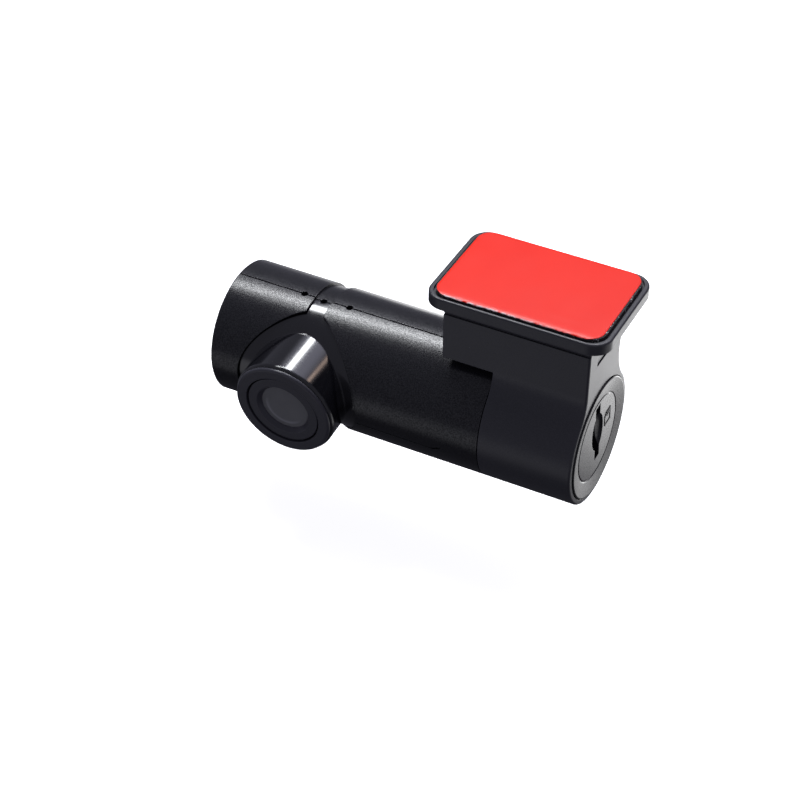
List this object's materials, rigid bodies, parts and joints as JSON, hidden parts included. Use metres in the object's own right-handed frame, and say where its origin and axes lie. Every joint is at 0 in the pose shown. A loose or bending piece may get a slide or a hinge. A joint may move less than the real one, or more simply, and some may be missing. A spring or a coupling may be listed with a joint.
{
  "type": "dash camera",
  "caption": "Tube-shaped dash camera with a side-facing lens barrel, tilting in a sleeve bracket that slides onto an adhesive windscreen plate.",
  "frame": {"origin": "centre of the adhesive pad's outer face, which sticks to the windscreen", "axes": "+Z out of the adhesive face towards the windscreen, +X along the tube from the power inlet to the card slot, -Y the way the lens looks"},
  "size_m": [0.0833, 0.0359, 0.0442],
  "materials": {
    "mount_plastic": "fine satin black moulded plastic",
    "foam": "dark grey acrylic foam tape",
    "liner": "glossy red release film",
    "spring_steel": "stamped spring steel",
    "rubber": "silicone rubber",
    "shell_plastic": "fine matte black moulded plastic",
    "screw_steel": "blackened steel",
    "gloss_plastic": "polished black plastic",
    "ring_plastic": "satin black plastic",
    "window_glass": "clear coated window",
    "anodised_aluminium": "black anodised",
    "lens_glass": "coated optical glass",
    "holder_plastic": "black moulded plastic",
    "filter_glass": "infrared filter",
    "chip_black": "moulded chip package",
    "circuit_board": "green solder mask",
    "thermal_rubber": "grey thermal pad",
    "bare_aluminium": "bare metal",
    "led_plastic": "clear white plastic",
    "capacitor_sleeve": "blue shrink sleeve",
    "socket_metal": "tinned steel",
    "card_plastic": "black card plastic"
  },
  "bodies": {
    "mount": {"mount_plate": "mount_plastic", "foam_pad": "foam", "release_liner": "liner"},
    "bracket": {"bracket": "mount_plastic", "wave_washer": "spring_steel", "damping_ring": "rubber"},
    "camera": {"retaining_ring": "spring_steel", "front_shell": "shell_plastic", "rear_shell": "shell_plastic", "left_cap": "shell_plastic", "end_cap": "shell_plastic", "shell_screws": "screw_steel", "lens_housing": "gloss_plastic", "lens_front_ring": "ring_plastic", "lens_inner_ring": "ring_plastic", "cover_glass": "window_glass", "lens_barrel": "anodised_aluminium", "front_lens": "lens_glass", "middle_lens": "lens_glass", "rear_lens": "lens_glass", "lens_holder": "holder_plastic", "ir_filter": "filter_glass", "image_sensor": "chip_black", "sensor_board": "circuit_board", "sensor_screws": "screw_steel", "board_connector": "holder_plastic", "main_board": "circuit_board", "board_screws": "screw_steel", "processor": "chip_black", "thermal_pad": "thermal_rubber", "heat_spreader": "bare_aluminium", "memory_chip": "chip_black", "flash_chip": "chip_black", "status_led": "led_plastic", "supercapacitors": "capacitor_sleeve", "microphone": "bare_aluminium", "reset_switch": "holder_plastic", "card_socket": "socket_metal", "power_socket": "socket_metal"},
    "memory_card": {"memory_card": "card_plastic"},
    "reset_plunger": {"reset_plunger": "led_plastic"}
  },
  "joints": [
    {"name": "bracket_slide", "type": "slide", "parent": "mount", "child": "bracket", "axis": [-1, 0, 0], "range_m": [0, 0.0275]},
    {"name": "camera_tilt", "type": "hinge", "parent": "bracket", "child": "camera", "pos_m": [0.00025, -0.00275, -0.0302], "axis": [1, 0, 0], "range_deg": [-80, 40]},
    {"name": "card_slide", "type": "slide", "parent": "camera", "child": "memory_card", "axis": [1, 0, 0], "range_m": [0, 0.0145]},
    {"name": "reset_press", "type": "slide", "parent": "camera", "child": "reset_plunger", "axis": [0, 0.1045, -0.9945], "range_m": [0, 0.00025], "stiffness_N_per_m": 500}
  ]
}
